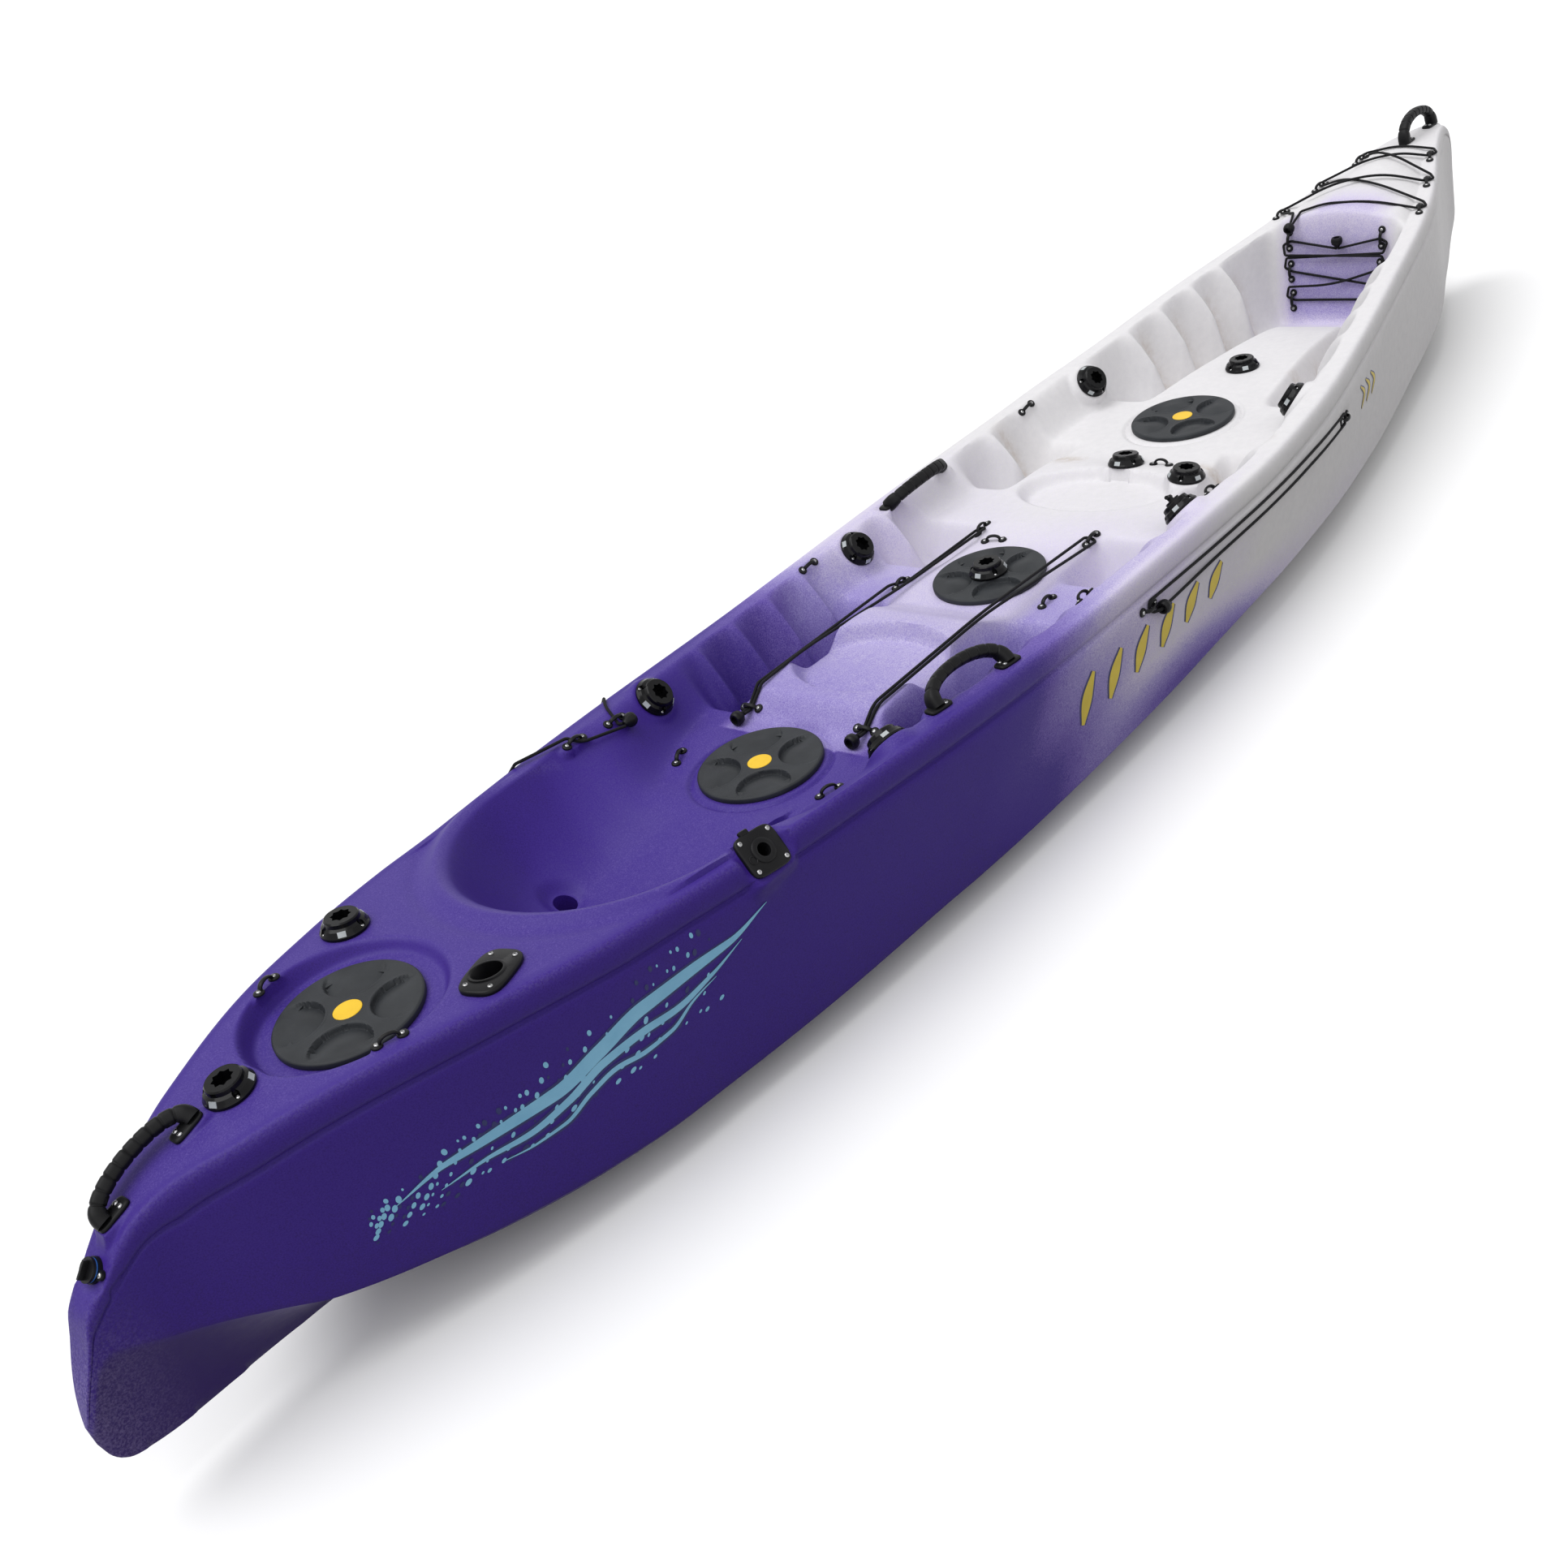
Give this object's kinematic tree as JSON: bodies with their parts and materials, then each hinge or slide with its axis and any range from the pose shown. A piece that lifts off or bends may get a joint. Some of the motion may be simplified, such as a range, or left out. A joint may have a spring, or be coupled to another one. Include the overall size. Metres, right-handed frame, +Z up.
{
  "type": "tandem kayak",
  "caption": "Sit-on-top tandem kayak: hollow moulded hull with seat bowl and footwells, screw hatches, carry handles, accessory sockets, rod holder, drain bung and elastic cords.",
  "frame": {"origin": "on the ground under the middle of the boat, at the keel strip", "axes": "+X towards the bow, +Y towards port, +Z up"},
  "size_m": [4.43, 0.7959, 0.5412],
  "materials": {
    "hull_plastic": "rotomoulded polyethylene, purple aft blending to white forward",
    "lid_plastic": "fine textured dark grey moulding",
    "ring_plastic": "black moulding",
    "seal_rubber": "black seal ring",
    "disc_plastic": "smooth yellow moulding",
    "socket_plastic": "polished black moulding",
    "reflector_plastic": "light grey reflective tabs",
    "screw_steel": "stainless, bright",
    "fitting_plastic": "black glass-filled nylon",
    "handle_rubber": "ribbed black grip",
    "holder_plastic": "dark grey-black moulding",
    "drain_rubber": "blue seal ring",
    "cord_fabric": "braided black sheath over elastic"
  },
  "bodies": {
    "boat": {"hull": "hull_plastic", "hatch_ring_1": "ring_plastic", "hatch_ring_2": "ring_plastic", "hatch_ring_3": "ring_plastic", "hatch_ring_4": "ring_plastic", "socket_1": "socket_plastic", "socket_2": "socket_plastic", "socket_3": "socket_plastic", "socket_4": "socket_plastic", "socket_5": "socket_plastic", "socket_6": "socket_plastic", "socket_7": "socket_plastic", "socket_8": "socket_plastic", "socket_9": "socket_plastic", "socket_10": "socket_plastic", "socket_11": "socket_plastic", "socket_reflectors": "reflector_plastic", "socket_screws": "screw_steel", "locking_bar": "fitting_plastic", "deck_padeyes": "fitting_plastic", "bow_padeyes": "fitting_plastic", "bulkhead_padeyes": "fitting_plastic", "side_padeyes": "fitting_plastic", "padeye_screws": "screw_steel", "stern_handle": "handle_rubber", "bow_handle": "handle_rubber", "port_handle": "handle_rubber", "starboard_handle": "handle_rubber", "handle_screws": "screw_steel", "rod_holder": "holder_plastic", "rod_holder_screws": "screw_steel", "gunwale_plate": "fitting_plastic", "gunwale_plate_screws": "screw_steel", "drain_flange": "fitting_plastic", "drain_screws": "screw_steel", "cord_knobs": "fitting_plastic", "port_deck_cord": "cord_fabric", "starboard_deck_cord": "cord_fabric", "port_keeper_cord": "cord_fabric", "starboard_keeper_cord": "cord_fabric", "bow_cord": "cord_fabric", "bulkhead_cord": "cord_fabric"},
    "seal_1": {"lid_seal_1": "seal_rubber"},
    "lid_1": {"hatch_lid_1": "lid_plastic", "lid_disc_1": "disc_plastic"},
    "seal_2": {"lid_seal_2": "seal_rubber"},
    "lid_2": {"hatch_lid_2": "lid_plastic", "lid_disc_2": "disc_plastic"},
    "seal_3": {"lid_seal_3": "seal_rubber"},
    "lid_3": {"hatch_lid_3": "lid_plastic", "lid_socket": "socket_plastic", "lid_socket_reflectors": "reflector_plastic", "lid_socket_screws": "screw_steel"},
    "seal_4": {"lid_seal_4": "seal_rubber"},
    "lid_4": {"hatch_lid_4": "lid_plastic", "lid_disc_4": "disc_plastic"},
    "plug_seal": {"drain_seal": "drain_rubber"},
    "plug": {"drain_plug": "fitting_plastic"}
  },
  "joints": [
    {"name": "lid_1_lift", "type": "slide", "parent": "boat", "child": "seal_1", "axis": [0, 0, 1], "range_m": [0, 0.0201]},
    {"name": "lid_1_turn", "type": "hinge", "parent": "seal_1", "child": "lid_1", "pos_m": [-1.66, 0, 0.425], "axis": [0, 0, 1], "range_deg": [0, 720]},
    {"name": "lid_2_lift", "type": "slide", "parent": "boat", "child": "seal_2", "axis": [0, 0, 1], "range_m": [0, 0.0201]},
    {"name": "lid_2_turn", "type": "hinge", "parent": "seal_2", "child": "lid_2", "pos_m": [-0.784, 0, 0.286], "axis": [0, 0, 1], "range_deg": [0, 720]},
    {"name": "lid_3_lift", "type": "slide", "parent": "boat", "child": "seal_3", "axis": [0, 0, 1], "range_m": [0, 0.0201]},
    {"name": "lid_3_turn", "type": "hinge", "parent": "seal_3", "child": "lid_3", "pos_m": [-0.064, 0, 0.274], "axis": [0, 0, 1], "range_deg": [0, 720]},
    {"name": "lid_4_lift", "type": "slide", "parent": "boat", "child": "seal_4", "axis": [0, 0, 1], "range_m": [0, 0.0201]},
    {"name": "lid_4_turn", "type": "hinge", "parent": "seal_4", "child": "lid_4", "pos_m": [0.715, 0, 0.255], "axis": [0, 0, 1], "range_deg": [0, 720]},
    {"name": "plug_lift", "type": "slide", "parent": "boat", "child": "plug_seal", "axis": [-0.6916, 0, 0.7222], "range_m": [0, 0.0161]},
    {"name": "plug_turn", "type": "hinge", "parent": "plug_seal", "child": "plug", "pos_m": [-2.122, 0, 0.36816], "axis": [-0.6916, 0, 0.7222], "range_deg": [0, 1440]}
  ],
  "couplings": [
    {"joint": "lid_1_lift", "follows": "lid_1_turn", "m_per_rad": 0.0015915},
    {"joint": "lid_2_lift", "follows": "lid_2_turn", "m_per_rad": 0.0015915},
    {"joint": "lid_3_lift", "follows": "lid_3_turn", "m_per_rad": 0.0015915},
    {"joint": "lid_4_lift", "follows": "lid_4_turn", "m_per_rad": 0.0015915},
    {"joint": "plug_lift", "follows": "plug_turn", "m_per_rad": 0.00063662}
  ]
}
